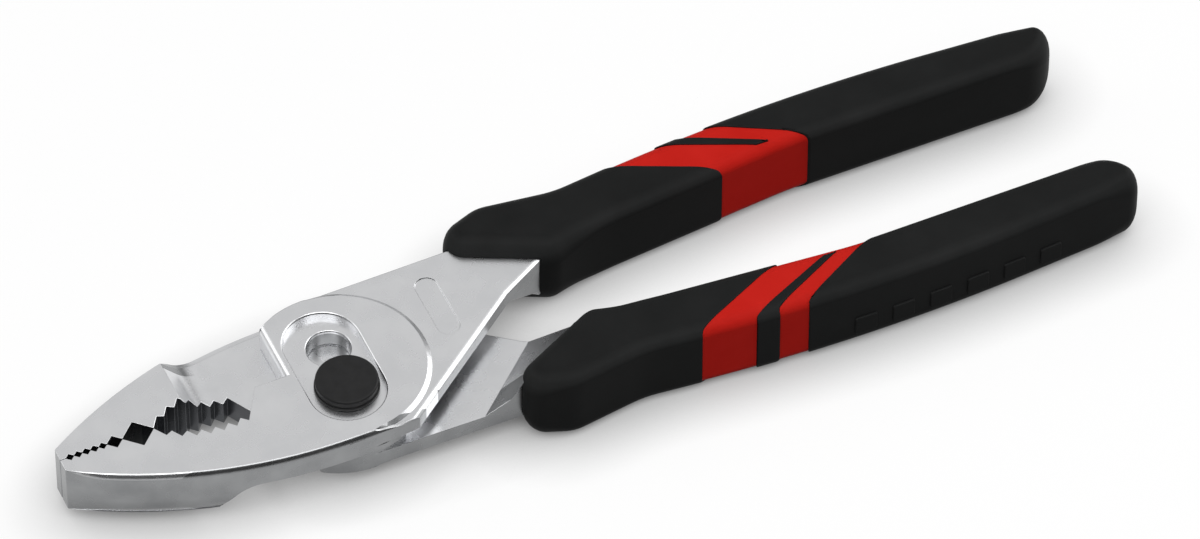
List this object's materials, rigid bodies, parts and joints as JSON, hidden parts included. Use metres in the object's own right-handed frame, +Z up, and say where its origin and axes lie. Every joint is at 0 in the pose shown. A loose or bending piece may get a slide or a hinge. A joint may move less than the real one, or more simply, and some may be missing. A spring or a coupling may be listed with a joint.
{
  "type": "slip-joint pliers",
  "caption": "Slip-joint combination pliers with chromed forged halves, toothed jaws, a wire cutter, a pin that shifts in a slot, and moulded two-colour grips.",
  "frame": {"origin": "centre of the bounding box's bottom face, on the bench under the closed tool", "axes": "+X from the jaws to the ends of the grips, +Z up through the pin's head"},
  "size_m": [0.202, 0.0476, 0.0164],
  "materials": {
    "chromed_steel": "satin chrome over fine-blasted forged steel",
    "blackened_steel": "black oxide",
    "red_core": "satin red elastomer",
    "black_skin": "fine-textured black elastomer"
  },
  "bodies": {
    "upper": {"upper_half": "chromed_steel", "upper_grip_core": "red_core", "upper_grip_front": "black_skin", "upper_grip_stripe": "black_skin", "upper_grip_rear": "black_skin"},
    "pivot": {"pivot_pin": "blackened_steel", "pivot_washer": "blackened_steel"},
    "lower": {"lower_half": "chromed_steel", "lower_grip_core": "red_core", "lower_grip_front": "black_skin", "lower_grip_stripe": "black_skin", "lower_grip_rear": "black_skin"}
  },
  "joints": [
    {"name": "slip", "type": "slide", "parent": "upper", "child": "pivot", "axis": [0.0523, 0.9986, 0], "range_m": [0, 0.0094]},
    {"name": "hinge", "type": "hinge", "parent": "pivot", "child": "lower", "pos_m": [-0.0478, -0.0041, 0.0082], "axis": [0, 0, -1], "range_deg": [0, 45]}
  ]
}
